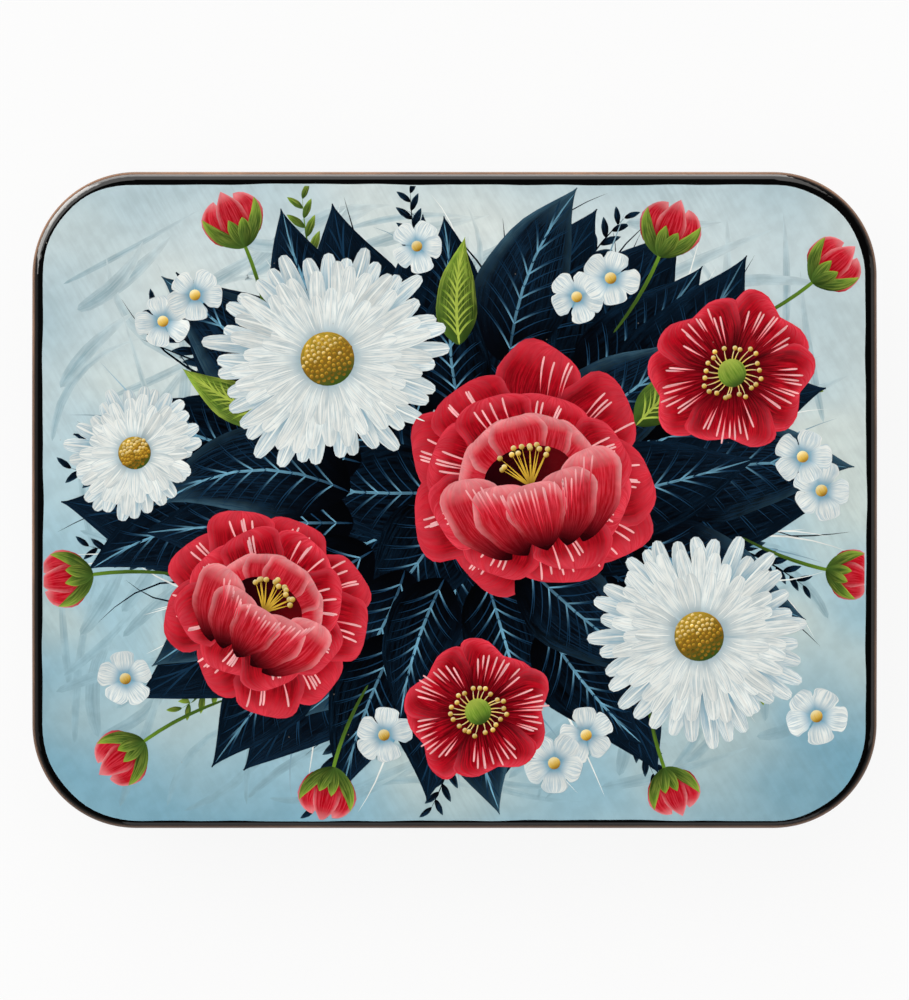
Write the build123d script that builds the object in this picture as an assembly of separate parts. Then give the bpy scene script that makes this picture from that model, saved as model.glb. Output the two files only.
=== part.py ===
from build123d import *
import os
from math import radians, tan

# Hinged lacquer box of papier-mache: a wound band, a base board, an inner sleeve, a crowned lid and a
# brass hinge let into the back wall. Millimetres and degrees. X runs left to right, Y front to back and
# Z up, with the origin under the middle of the box, on the surface that it stands on.

# Outer form
box_length = 90.0
box_depth = 70.0
corner_radius = 11.0
body_height = 26.0
lid_band_height = 5.5
lid_board_thickness = 3.5
crown_rise = 0.8
lid_edge_radius = 1.0
foot_bevel = 0.5
parting_bevel = 0.3

# Walls and boards
wall = 3.6
sleeve_thickness = 1.4
sleeve_rise = 3.0
sleeve_edge_radius = 0.45
base_thickness = 2.8
base_recess = 0.4
rebate_width = 1.7

# Hinge
hinge_length = 26.0
knuckle_count = 5
knuckle_radius = 1.1
pin_radius = 0.5
pin_proud = 0.2
pin_end_bevel = 0.15
leaf_thickness = 0.45
body_leaf_depth = 7.0
lid_leaf_cover = 0.9
barrel_inset = 0.15
open_angle = 100.0

# Tacks that hold the leaves
tack_radius = 0.45
tack_spacing = 16.0
tack_edge_distance = 1.3
tack_bite = 0.4

# Clearances
glue_line = 0.05
lid_clearance = 0.35
knuckle_clearance = 0.12
knuckle_side_gap = 0.1
pocket_end_gap = 0.5
pin_clearance = 0.04
leaf_clearance = 0.05
tack_clearance = 0.02
stop_gap = 1.0
overcut = 5.0

# Places worked out from the sizes above
half_length = box_length / 2
half_depth = box_depth / 2
base_top = base_recess + base_thickness
sleeve_inset = wall + glue_line
lid_wall = wall - lid_clearance
lid_board_bottom = body_height + lid_band_height
lid_top = lid_board_bottom + lid_board_thickness
crown_radius = (half_depth**2 + crown_rise**2) / (2 * crown_rise)
hinge_y = half_depth - barrel_inset - knuckle_radius
leaf_front = hinge_y - knuckle_radius
leaf_back = leaf_front + leaf_thickness
lid_leaf_depth = lid_band_height - lid_leaf_cover
bevel_angle = (open_angle + stop_gap) / 2
knuckle_pitch = hinge_length / knuckle_count
tack_front = leaf_front - tack_bite
BODY, LID = -1, 1


def slab(inset, bottom, top):
    # A board with the box's outline, drawn in by the inset
    outline = RectangleRounded(box_length - 2 * inset, box_depth - 2 * inset, corner_radius - inset)
    return Pos(0, 0, bottom) * extrude(outline, top - bottom)


def block(half_width, front, back, bottom, top):
    # A straight cutter or plate, centred on the box from left to right
    size = (2 * half_width, back - front, top - bottom)
    return Pos(0, (front + back) / 2, (bottom + top) / 2) * Box(*size)


def rod(radius, left, right):
    # A round bar on the hinge axis
    place = Pos((left + right) / 2, hinge_y, body_height)
    return place * Cylinder(radius, right - left, rotation=(0, 90, 0))


def outer_edges(part, level):
    # The outer outline of the lowest face (level 0) or the highest face (level -1)
    return part.faces().sort_by(Axis.Z)[level].outer_wire().edges()


def leaf_depth(side):
    return lid_leaf_depth if side == LID else body_leaf_depth


def tack_height(side):
    # Tacks stand one edge distance in from the leaf's far edge
    return body_height + side * (leaf_depth(side) - tack_edge_distance)


def tacks(side, radius):
    # Two plain pins from the back face, through the leaf and into the wall behind it
    length = half_depth - tack_front
    middle = tack_front + length / 2
    pin = Cylinder(radius, length, rotation=(90, 0, 0))
    return [Pos(x, middle, tack_height(side)) * pin for x in (-tack_spacing / 2, tack_spacing / 2)]


def hinge_seat(side):
    # All that is cut from a band for its half of the hinge: the sloping back that gives the lid room to
    # swing and stops it, the pocket round the barrel, the saw kerf for the leaf and the tack holes
    reach = half_depth - hinge_y + overcut
    slope = side * reach * tan(radians(bevel_angle))
    corners = [(0, 0), (reach, 0), (reach, slope)]
    profile = make_face(Polyline(*[(hinge_y + y, body_height + z) for y, z in corners], close=True))
    bevel = extrude(Plane.YZ * profile, half_length + overcut, both=True)
    pocket_reach = knuckle_radius + knuckle_clearance
    levels = sorted((body_height, body_height + side * pocket_reach))
    pocket = block(hinge_length / 2 + pocket_end_gap, hinge_y - pocket_reach, half_depth + overcut, *levels)
    levels = sorted((body_height, body_height + side * (leaf_depth(side) + leaf_clearance)))
    sides = (leaf_front - leaf_clearance, leaf_back + leaf_clearance)
    kerf = block(hinge_length / 2 + leaf_clearance, *sides, *levels)
    return [bevel, pocket, kerf, *tacks(side, tack_radius + tack_clearance)]


def hinge_leaf(side, first_knuckle):
    # A brass plate, its edge rolled into every second knuckle and notched round the other leaf's knuckles
    levels = sorted((body_height, body_height + side * leaf_depth(side)))
    leaf = block(hinge_length / 2, leaf_front, leaf_back, *levels)
    half_gap = knuckle_side_gap / 2
    for index in range(knuckle_count):
        left = -hinge_length / 2 + index * knuckle_pitch
        right = left + knuckle_pitch
        if index % 2 == first_knuckle:
            leaf += rod(knuckle_radius, left + half_gap, right - half_gap)
        else:
            leaf -= rod(knuckle_radius + knuckle_clearance, left - half_gap, right + half_gap)
    leaf -= rod(pin_radius + pin_clearance, -hinge_length / 2 - overcut, hinge_length / 2 + overcut)
    return leaf - tacks(side, tack_radius + tack_clearance)


def body_band():
    # Wound side wall, rebated below for the base board
    band = slab(0, 0, body_height)
    band = chamfer(outer_edges(band, 0), foot_bevel)
    band = chamfer(outer_edges(band, -1), parting_bevel)
    band -= slab(wall, 0, body_height)
    band -= slab(wall - rebate_width, 0, base_top)
    return band - hinge_seat(BODY)


def base_board():
    # Pressed board in the band's rebate, a little above the standing edge
    return slab(wall - rebate_width + glue_line, base_recess, base_top)


def inner_sleeve():
    # Lining that stands on the base board and rises past the parting line to locate the lid
    top = body_height + sleeve_rise
    sleeve = slab(sleeve_inset, base_top, top) - slab(sleeve_inset + sleeve_thickness, base_top, top)
    rim = sleeve.faces().sort_by(Axis.Z)[-1]
    return fillet(rim.edges(), sleeve_edge_radius)


def lid_band():
    # Wound wall of the lid, opened inside to pass over the sleeve
    band = slab(0, body_height, lid_board_bottom)
    band = chamfer(outer_edges(band, 0), parting_bevel)
    band -= slab(lid_wall, body_height, lid_board_bottom)
    return band - hinge_seat(LID)


def lid_board():
    # Pressed board, arched a little from front to back and rounded over along its upper edge
    arch = Cylinder(crown_radius, box_length + 2 * overcut, rotation=(0, 90, 0))
    board = slab(0, lid_board_bottom, lid_top + overcut) & Pos(0, 0, lid_top - crown_radius) * arch
    return fillet(outer_edges(board, -1), lid_edge_radius)


def hinge_pin():
    reach = hinge_length / 2 + pin_proud
    pin = rod(pin_radius, -reach, reach)
    return chamfer(pin.edges().filter_by(GeomType.CIRCLE), pin_end_bevel)


nodes = {
    "body_band": body_band(),
    "base_board": base_board(),
    "inner_sleeve": inner_sleeve(),
    "lid_band": lid_band(),
    "lid_board": lid_board(),
    "hinge_body_leaf": hinge_leaf(BODY, 0),
    "hinge_lid_leaf": hinge_leaf(LID, 1),
    "hinge_pin": hinge_pin(),
    "body_leaf_tacks": Compound(children=tacks(BODY, tack_radius)),
    "lid_leaf_tacks": Compound(children=tacks(LID, tack_radius)),
}

os.makedirs("parts", exist_ok=True)
for name, shape in nodes.items():
    export_step(shape, f"parts/{name}.step")
    print(name, "volume", round(shape.volume, 1))
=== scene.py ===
import math
import bpy
import numpy as np
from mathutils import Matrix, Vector


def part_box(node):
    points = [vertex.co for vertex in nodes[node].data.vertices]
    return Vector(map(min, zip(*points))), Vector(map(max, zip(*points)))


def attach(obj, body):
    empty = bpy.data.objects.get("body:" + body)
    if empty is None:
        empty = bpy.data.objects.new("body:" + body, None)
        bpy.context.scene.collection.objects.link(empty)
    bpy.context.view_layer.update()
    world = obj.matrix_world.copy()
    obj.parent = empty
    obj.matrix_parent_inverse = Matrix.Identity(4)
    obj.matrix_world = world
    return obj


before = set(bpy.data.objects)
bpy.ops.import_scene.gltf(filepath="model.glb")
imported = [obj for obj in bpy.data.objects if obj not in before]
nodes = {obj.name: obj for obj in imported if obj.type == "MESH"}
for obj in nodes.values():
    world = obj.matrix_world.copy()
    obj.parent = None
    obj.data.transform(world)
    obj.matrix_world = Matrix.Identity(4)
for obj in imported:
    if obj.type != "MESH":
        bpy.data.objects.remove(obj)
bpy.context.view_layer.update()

# Lacquer box seen from straight above: finishes for the CAD nodes, and the painted picture on the lid.
# Metres in the scene, millimetres in the picture, which lies flat with x to the right and y to the back.

scene = bpy.context.scene
mm = 0.001
lidLow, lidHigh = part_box("lid_board")
halfLength, halfDepth = lidHigh.x / mm, lidHigh.y / mm
lidForm = {"crownRise": 0.8, "cornerRadius": 11.0, "under": lidLow.z / mm, "top": lidHigh.z / mm}
print("frame loaded, lid", round(2 * halfLength, 2), "by", round(2 * halfDepth, 2), "mm")


def linear(*rgb):
    # display values 0 to 255 as scene light: the usual power curve with its straight foot
    c = np.array(rgb, float) / 255
    return np.where(c <= 0.04045, c / 12.92, ((c + 0.055) / 1.055) ** 2.4)


def smooth(x, low=0.0, high=1.0):
    # soft step from 0 at low to 1 at high
    s = np.clip((x - low) / (high - low), 0, 1)
    return s * s * (3 - 2 * s)


def mix(a, b, share):
    # a share of the way from a to b
    return a + (b - a) * share


# node helpers

def addNode(tree, kind, values=None, links=None, **settings):
    # a node with its settings, its plain input values and its linked inputs
    node = tree.nodes.new(kind)
    for name, value in settings.items():
        setattr(node, name, value)
    for key, value in (values or {}).items():
        node.inputs[key].default_value = value
    for key, socket in (links or {}).items():
        tree.links.new(socket, node.inputs[key])
    return node


def calc(tree, operation, *terms):
    # one math node; a term is a number or a socket
    node = tree.nodes.new("ShaderNodeMath")
    node.operation = operation
    for k, term in enumerate(terms):
        if isinstance(term, (int, float)):
            node.inputs[k].default_value = term
        else:
            tree.links.new(term, node.inputs[k])
    return node.outputs[0]


def ramp(tree, value, low, high, start=0.0, end=1.0):
    # soft step of a socket, from start at low to end at high
    node = addNode(tree, "ShaderNodeMapRange", {1: low, 2: high, 3: start, 4: end}, {0: value},
                   interpolation_type="SMOOTHSTEP")
    return node.outputs[0]


def blend(tree, factor, a, b, how="MIX"):
    # colour mix; a colour is a tuple or a socket
    node = tree.nodes.new("ShaderNodeMix")
    node.data_type = "RGBA"
    node.blend_type = how
    for key, term in ((0, factor), (6, a), (7, b)):
        if isinstance(term, bpy.types.NodeSocket):
            tree.links.new(term, node.inputs[key])
        else:
            node.inputs[key].default_value = term if key == 0 else (*term, 1.0)
    return node.outputs[2]


def noise(tree, place, scale, detail=2.0, roughness=0.5):
    # cloudy noise from 0 to 1
    values = {"Scale": scale, "Detail": detail, "Roughness": roughness}
    return addNode(tree, "ShaderNodeTexNoise", values, {"Vector": place}).outputs[0]


def stretch(tree, place, scale, rotation=(0.0, 0.0, 0.0)):
    # a place, scaled and turned
    values = {"Scale": scale, "Rotation": rotation}
    return addNode(tree, "ShaderNodeMapping", values, {"Vector": place}).outputs[0]


def cells(tree, place, scale):
    # distance to the nearest of scattered points, and a random colour for each point
    return addNode(tree, "ShaderNodeTexVoronoi", {"Scale": scale}, {"Vector": place}).outputs


def onPiece(tree):
    # place on the piece, in metres
    return addNode(tree, "ShaderNodeTexCoord").outputs["Object"]


def startGroup(name, inputs, outputs):
    # inputs: names with plain values, or with None for a vector; outputs: names of values
    tree = bpy.data.node_groups.new(name, "ShaderNodeTree")
    for label, value in inputs.items():
        kind = "NodeSocketVector" if value is None else "NodeSocketFloat"
        socket = tree.interface.new_socket(label, in_out="INPUT", socket_type=kind)
        if value is not None:
            socket.default_value = value
    for label in outputs:
        tree.interface.new_socket(label, in_out="OUTPUT", socket_type="NodeSocketFloat")
    return tree, tree.nodes.new("NodeGroupInput").outputs, tree.nodes.new("NodeGroupOutput").inputs


def useGroup(tree, group, values=None, links=None):
    # a shared effect, placed in a material
    return addNode(tree, "ShaderNodeGroup", values, links, node_tree=group).outputs


def makeBoxInset():
    # distance inwards from the box's rounded outline, and height, both in millimetres
    sizes = {"Half Length": halfLength, "Half Depth": halfDepth, "Corner": lidForm["cornerRadius"]}
    tree, given, result = startGroup("box inset", sizes, ("Inset", "Height"))
    axes = addNode(tree, "ShaderNodeSeparateXYZ", links={0: onPiece(tree)}).outputs
    past = []
    for axis, half in (("X", "Half Length"), ("Y", "Half Depth")):
        size = calc(tree, "MULTIPLY", calc(tree, "ABSOLUTE", axes[axis]), 1 / mm)
        past.append(calc(tree, "SUBTRACT", size, calc(tree, "SUBTRACT", given[half], given["Corner"])))
    outside = [calc(tree, "MAXIMUM", p, 0.0) for p in past]
    reach = calc(tree, "SQRT", calc(tree, "ADD", *[calc(tree, "MULTIPLY", o, o) for o in outside]))
    within = calc(tree, "MINIMUM", calc(tree, "MAXIMUM", *past), 0.0)
    distance = calc(tree, "SUBTRACT", calc(tree, "ADD", reach, within), given["Corner"])
    tree.links.new(calc(tree, "MULTIPLY", distance, -1.0), result["Inset"])
    tree.links.new(calc(tree, "MULTIPLY", axes["Z"], 1 / mm), result["Height"])
    return tree


skin = {
    "specks": 620.0, "speckSize": (0.03, 0.06), "smudges": 70.0, "smudgeRange": (0.35, 0.75),
    "scratches": (14.0, 900.0, 900.0), "scratchTurn": (0.3, 0.2, 0.7), "scratchRange": (0.70, 0.76),
    "scratchDepth": -0.12, "ripples": 190.0,
}


def makeLacquerSkin():
    # what a hand-polished lacquer film shows: dust specks, smudges, hair scratches and a slow ripple
    tree, given, result = startGroup("lacquer skin", {"Speck Share": 0.1}, ("Speck", "Smudge", "Relief"))
    place = onPiece(tree)
    dust = cells(tree, place, skin["specks"])
    dot = ramp(tree, dust["Distance"], *skin["speckSize"], 1.0, 0.0)
    lottery = addNode(tree, "ShaderNodeSeparateColor", links={0: dust["Color"]}).outputs[0]
    chosen = calc(tree, "LESS_THAN", lottery, given["Speck Share"])
    tree.links.new(calc(tree, "MULTIPLY", dot, chosen), result["Speck"])
    smudge = noise(tree, place, skin["smudges"], 5.0, 0.62)
    tree.links.new(ramp(tree, smudge, *skin["smudgeRange"]), result["Smudge"])
    hairs = noise(tree, stretch(tree, place, skin["scratches"], skin["scratchTurn"]), 1.0)
    scratch = ramp(tree, hairs, *skin["scratchRange"])
    waves = noise(tree, place, skin["ripples"])
    tree.links.new(calc(tree, "MULTIPLY_ADD", scratch, skin["scratchDepth"], waves), result["Relief"])
    return tree


bristles = {"lineRange": (0.38, 0.66), "loads": 0.55, "loadRange": (0.25, 0.75)}


def makeBrushStreaks():
    # bristle marks along a stroke: fine lines, and slower changes of how much paint the brush holds
    knobs = {"Vector": None, "Lines": 7.0, "Length": 0.3}
    tree, given, result = startGroup("brush streaks", knobs, ("Streak", "Load"))
    place = given["Vector"]
    scale = addNode(tree, "ShaderNodeCombineXYZ", {2: 1.0}, {0: given["Lines"], 1: given["Length"]})
    spread = addNode(tree, "ShaderNodeVectorMath", links={0: place, 1: scale.outputs[0]},
                     operation="MULTIPLY")
    lines = noise(tree, spread.outputs[0], 1.0, 3.0, 0.6)
    tree.links.new(ramp(tree, lines, *bristles["lineRange"]), result["Streak"])
    load = noise(tree, place, bristles["loads"], 3.0)
    tree.links.new(ramp(tree, load, *bristles["loadRange"]), result["Load"])
    return tree


boxInset, lacquerSkin, brushStreaks = makeBoxInset(), makeLacquerSkin(), makeBrushStreaks()
print("shared effects made")


def startMaterial(name):
    # a new material, its node tree and its shader
    material = bpy.data.materials.new(name)
    material.use_nodes = True
    tree = material.node_tree
    return material, tree, tree.nodes["Principled BSDF"]


def setSurface(tree, shader, color, roughness, relief, depth, strength):
    # colour, gloss and fine relief to the shader
    tree.links.new(color, shader.inputs["Base Color"])
    tree.links.new(roughness, shader.inputs["Roughness"])
    node = addNode(tree, "ShaderNodeBump", {"Strength": strength, "Distance": depth}, {"Height": relief})
    tree.links.new(node.outputs[0], shader.inputs["Normal"])


def dress(names, material):
    # one material on each CAD node, in place of what it had
    for name in names:
        nodes[name].data.materials.clear()
        nodes[name].data.materials.append(material)


# lacquered papier-mache: black film outside, red film inside, brown where it is thin on an edge, and on the
# lid's upper edge a lighter tan that is partly thin film and partly a painted highlight

lacquer = {
    "black": linear(3, 3, 3), "brown": linear(104, 64, 38), "tan": linear(150, 114, 90),
    "red": linear(182, 33, 20), "redShade": linear(168, 27, 17), "dust": linear(150, 140, 128),
    "gloss": 0.045, "smudgeGloss": 0.099, "redGloss": 0.10, "speckShare": 0.10, "speckShow": 0.55,
    "wearAndHighlightInset": (0.06, 0.45), "wearAndHighlightFade": 0.4, "wearAndHighlightLeast": 0.5, "relief": 0.00003, "reliefShow": 0.35,
}


def lacquerFinish(node, edges, redSides, thin="brown"):
    # edges: bands of height in mm where the film is thin on a rim and shows the thin colour, which on the
    # lid's upper edge is a lighter tan that is also a painted highlight; redSides: insets or heights in mm at
    # which the red film begins and at which it is full
    material, tree, shader = startMaterial(node + " lacquer")
    form = useGroup(tree, boxInset)
    film = useGroup(tree, lacquerSkin, {"Speck Share": lacquer["speckShare"]})
    rim = ramp(tree, form["Inset"], *lacquer["wearAndHighlightInset"], 1.0, 0.0)
    fade, least = lacquer["wearAndHighlightFade"], lacquer["wearAndHighlightLeast"]
    wearAndHighlight = 0.0
    for low, high in edges:
        above = ramp(tree, form["Height"], low, low + fade)
        near = calc(tree, "MULTIPLY", above, ramp(tree, form["Height"], high - fade, high, 1.0, 0.0))
        wearAndHighlight = calc(tree, "MAXIMUM", wearAndHighlight, calc(tree, "MULTIPLY", rim, near))
    uneven = calc(tree, "MULTIPLY_ADD", film["Smudge"], 1 - least, least)
    # colour at the edges: worn thin film, and on the lid's upper edge also a painted highlight
    color = blend(tree, calc(tree, "MULTIPLY", wearAndHighlight, uneven), lacquer["black"], lacquer[thin])
    gloss = ramp(tree, film["Smudge"], 0.0, 1.0, lacquer["gloss"], lacquer["smudgeGloss"])
    mask = 1.0
    for measure, begin, full in redSides:
        rising = begin < full
        low, high = sorted((begin, full))
        part = ramp(tree, form[measure], low, high, 1.0 - rising, 0.0 + rising)
        mask = calc(tree, "MULTIPLY", mask, part)
    red = blend(tree, film["Smudge"], lacquer["red"], lacquer["redShade"])
    color = blend(tree, mask, color, red)
    gloss = calc(tree, "MULTIPLY_ADD", mask, lacquer["redGloss"] - lacquer["gloss"], gloss)
    color = blend(tree, calc(tree, "MULTIPLY", film["Speck"], lacquer["speckShow"]), color, lacquer["dust"])
    setSurface(tree, shader, color, gloss, film["Relief"], lacquer["relief"], lacquer["reliefShow"])
    dress([node], material)


heightOf = {name: [corner.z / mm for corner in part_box(name)] for name in nodes}
parting, baseUpper = heightOf["lid_band"][0], heightOf["base_board"][1]
edgeBand = 0.6  # height of the thin film beside an edge, mm
foot, lips = (-1.0, edgeBand), (parting - edgeBand, parting + edgeBand)
# the lid's rounded upper edge takes the tan: partly worn film, partly a painted highlight
upper = (lidForm["under"] + 1.8, lidForm["top"] + 1.0)  # rounded edge of the lid
# red begins just before the inner face of each wall and board, and outside the sleeve, which is all red
lidRed, bodyRed, sleeveRed = ("Inset", 2.95, 3.1), ("Inset", 3.35, 3.5), ("Inset", 2.0, 2.5)
lidUnderRed = ("Height", lidForm["under"] + 0.12, lidForm["under"] + 0.05)
baseRed = ("Height", baseUpper - 0.12, baseUpper - 0.05)
lacquered = {
    "lid_board": ([upper], [lidUnderRed, lidRed], "tan"), "lid_band": ([lips], [lidRed]),
    "body_band": ([foot, lips], [bodyRed]), "base_board": ([foot], [baseRed]),
    "inner_sleeve": ([lips], [sleeveRed]),
}
for node, look in lacquered.items():
    lacquerFinish(node, *look)
print("lacquer on", len(lacquered), "nodes")


# brass of the hinge: bright metal with dull clouds, dark pits and fine lines along the hinge

brass = {
    "bright": linear(214, 176, 98), "dull": linear(140, 104, 52), "stain": linear(74, 52, 30),
    "clouds": 420.0, "cloudRange": (0.35, 0.7), "drawn": (90.0, 5200.0, 5200.0), "relief": 0.00001,
    "pits": 1500.0, "pitSize": (0.08, 0.2), "pitShow": 0.7, "glossRange": (0.3, 0.75),
    "gloss": (0.22, 0.46), "reliefShow": 0.4,
}
brassNodes = ("hinge_body_leaf", "hinge_lid_leaf", "hinge_pin", "body_leaf_tacks", "lid_leaf_tacks")


def brassFinish():
    # clouds and pits change the colour, clouds the gloss and drawn lines the relief
    material, tree, shader = startMaterial("hinge brass")
    place = onPiece(tree)
    cloud = noise(tree, place, brass["clouds"], 6.0, 0.65)
    lines = noise(tree, stretch(tree, place, brass["drawn"]), 1.0)
    pit = cells(tree, place, brass["pits"])["Distance"]
    color = blend(tree, ramp(tree, cloud, *brass["cloudRange"]), brass["bright"], brass["dull"])
    color = blend(tree, ramp(tree, pit, *brass["pitSize"], brass["pitShow"], 0.0), color, brass["stain"])
    gloss = ramp(tree, cloud, *brass["glossRange"], *brass["gloss"])
    shader.inputs["Metallic"].default_value = 1.0
    setSurface(tree, shader, color, gloss, lines, brass["relief"], brass["reliefShow"])
    dress(brassNodes, material)


brassFinish()
print("brass on the hinge")


# the picture on the lid: a flower bouquet in layered brush marks on a pale ice-blue ground

picture = {
    "left": 1.2, "right": 1.3, "back": 1.45, "front": 0.85,  # black line left bare round the picture, mm
    "corners": (9.5, 9.3, 10.3, 9.8),  # radii from the back right corner round by the left, drawn by hand
    "groundLift": 0.012, "markLift": 0.016, "layer": 0.0018,  # heights above the lid and from mark to mark
    "trim": 0.12, "leastFace": 0.00001,  # bare ground at the edge in mm, and the smallest face in square mm
}
bouquet = {"reach": (40.0, 30.0), "hazes": 260, "grasses": 110}  # half width and depth in mm, and counts
pictureMiddle = np.array([picture["left"] - picture["right"], picture["front"] - picture["back"]]) / 2
spanX = halfLength - (picture["left"] + picture["right"]) / 2
spanY = halfDepth - (picture["front"] + picture["back"]) / 2
archRadius = (halfDepth ** 2 + lidForm["crownRise"] ** 2) / (2 * lidForm["crownRise"])
rng = np.random.default_rng(11)

paints = {name: linear(*rgb) for name, rgb in {
    "mint": (218, 229, 221), "ice": (178, 212, 223), "white": (238, 243, 239), "blue": (104, 162, 186),
    "slate": (120, 142, 148), "haze": (136, 170, 182), "navy": (1, 2, 5), "night": (5, 11, 20),
    "teal": (17, 46, 70), "sky": (108, 162, 188), "deep": (34, 0, 4), "wine": (96, 3, 10),
    "crimson": (174, 6, 22), "rose": (206, 14, 36), "pink": (240, 76, 94), "blush": (252, 186, 188),
    "frost": (150, 178, 190), "snow": (240, 244, 240), "moss": (58, 84, 30), "leaf": (104, 142, 42),
    "lime": (172, 190, 78), "gold": (222, 178, 58), "ochre": (146, 104, 28), "cream": (248, 232, 178),
}.items()}


def archHeight(y):
    # height of the lid's arched face in mm: a circle arc from front to back
    return lidForm["top"] - archRadius + np.sqrt(archRadius ** 2 - y ** 2)


def lattice(x, y, cell, seed, size=64, shift=20):
    # smooth noise from 0 to 1: random values on a square lattice, eased between its points
    table = np.random.default_rng(seed).random((size, size))
    gx, gy = x / cell + shift, y / cell + shift
    ix, iy = np.floor(gx).astype(int), np.floor(gy).astype(int)
    fx, fy = smooth(gx - ix), smooth(gy - iy)
    corner = [[table[(ix + i) % size, (iy + j) % size] for j in (0, 1)] for i in (0, 1)]
    return mix(mix(corner[0][0], corner[1][0], fx), mix(corner[0][1], corner[1][1], fx), fy)


ground = {
    "clouds": ((0.65, 15, 3), (0.35, 6, 4)),  # share, size in mm and seed of each kind of cloud
    "cloudSlant": 0.5, "cloudRange": (0.3, 0.7), "light": 0.7, "lightRange": (-2, 26), "lightDrift": 10,
    "lightPatch": (18, 5), "corners": 0.5, "cornerRange": (0.72, 1.3), "front": 0.28, "frontRange": (8, 34),
    "blueLeast": 0.5, "blueMore": 0.8, "bluePatch": (9, 6), "under": 0.3, "underRange": (0.55, 1.0),
    "streak": 0.16, "streakPatch": (8, 9), "slant": (0.86, 0.5),  # the ground is brushed on a slant
    "turns": 288, "rings": 36, "skirt": 0.1, "wobble": 0.11, "mapSpan": 2.02,
    "waves": ((3, 0.5, 0.1), (7, 0.35, 0.6), (13, 0.3, 0.2), (29, 0.25, 0.8), (47, 0.2, 0.4)),
    "look": {"lines": 2.2, "length": 0.22, "load": 0.05},
}


def groundTone(x, y):
    # pale ground: mint and ice blue in clouds, white towards the back, blue at the front and in the
    # corners, and slate under the bouquet
    slanted = x + ground["cloudSlant"] * y
    cloud = sum(share * lattice(slanted, y, *patch) for share, *patch in ground["clouds"])
    tone = mix(paints["mint"], paints["ice"], smooth(cloud, *ground["cloudRange"])[..., None])
    drift = ground["lightDrift"] * lattice(x, y, *ground["lightPatch"])
    light = smooth(y + drift, *ground["lightRange"]) * ground["light"]
    tone = mix(tone, paints["white"], light[..., None])
    shade = smooth(np.hypot(x / spanX, y / spanY), *ground["cornerRange"]) * ground["corners"]
    shade = shade + smooth(-y, *ground["frontRange"]) * ground["front"]
    uneven = ground["blueLeast"] + ground["blueMore"] * lattice(x, y, *ground["bluePatch"])
    tone = mix(tone, paints["blue"], (shade * uneven)[..., None].clip(0, 1))
    reachX, reachY = bouquet["reach"]
    under = (1 - smooth(np.hypot(x / reachX, y / reachY), *ground["underRange"])) * ground["under"]
    return mix(tone, paints["slate"], under[..., None])


def outlinePoint(turn):
    # rounded outline of the picture at a turn from 0 to 1: four straight runs and four arcs, by length
    radii = np.array(picture["corners"])
    runs = np.array([2 * spanY, 2 * spanX] * 2) - radii - np.roll(radii, 1)
    ends = np.cumsum(np.stack([runs, radii * math.pi / 2], 1).ravel())
    along = (turn % 1.0) * ends[-1]
    part = np.searchsorted(ends, along, side="right").clip(0, 7)
    into = along - np.concatenate([[0], ends])[part]
    side = part // 2
    heading, rc = side * math.pi / 2, radii[side]
    onArc = part % 2 == 1
    sweep = np.where(onArc, into / rc, 0.0) + heading
    cornerX = np.array([1, -1, -1, 1])[side] * (spanX - rc)
    cornerY = np.array([1, 1, -1, -1])[side] * (spanY - rc)
    step = np.where(onArc, 0.0, into - runs[side])
    x = cornerX + rc * np.cos(sweep) - step * np.sin(heading)
    y = cornerY + rc * np.sin(sweep) + step * np.cos(heading)
    return pictureMiddle[0] + x, pictureMiddle[1] + y


def keepInside(points, gap=picture["trim"]):
    # points past the picture's edge come back to it along the shortest way, as if the black line cut them
    p = points - pictureMiddle
    rc = max(picture["corners"])
    core = np.clip(p, [rc - spanX, rc - spanY], [spanX - rc, spanY - rc])
    away = p - core
    length = np.maximum(np.linalg.norm(away, axis=-1, keepdims=True), 1e-9)
    return core + away * np.minimum(1.0, (rc - gap) / length) + pictureMiddle


def isInside(points, gap):
    # true where the picture's edge doesn't move a point
    return np.linalg.norm(keepInside(points, gap) - points, axis=-1) < 0.001


varnish = {"speckShare": 0.12, "speckShow": 0.35, "gloss": (0.05, 0.10),
           "relief": 0.000004, "reliefShow": 0.5}


def paintMaterial(name, look):
    # paint under clear lacquer: the mark's own colour, bristle streaks in its second colour, uneven load
    material, tree, shader = startMaterial(name)
    own, second = (addNode(tree, "ShaderNodeAttribute", attribute_name=layer).outputs["Color"]
                   for layer in ("paint", "streak"))
    along = addNode(tree, "ShaderNodeUVMap", uv_map="brush").outputs[0]
    knobs = {"Lines": look["lines"], "Length": look["length"]}
    bristle = useGroup(tree, brushStreaks, knobs, {"Vector": along})
    color = blend(tree, bristle["Streak"], own, second)
    load = ramp(tree, bristle["Load"], 0.0, 1.0, 1 - look["load"], 1 + look["load"])
    gray = addNode(tree, "ShaderNodeCombineColor", links={0: load, 1: load, 2: load}).outputs[0]
    color = blend(tree, 1.0, color, gray, "MULTIPLY")
    film = useGroup(tree, lacquerSkin, {"Speck Share": varnish["speckShare"]})
    color = blend(tree, calc(tree, "MULTIPLY", film["Speck"], varnish["speckShow"]), color, lacquer["dust"])
    gloss = ramp(tree, film["Smudge"], 0.0, 1.0, *varnish["gloss"])
    setSurface(tree, shader, color, gloss, bristle["Streak"], varnish["relief"], varnish["reliefShow"])
    return material


pictureLayers = []


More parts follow.
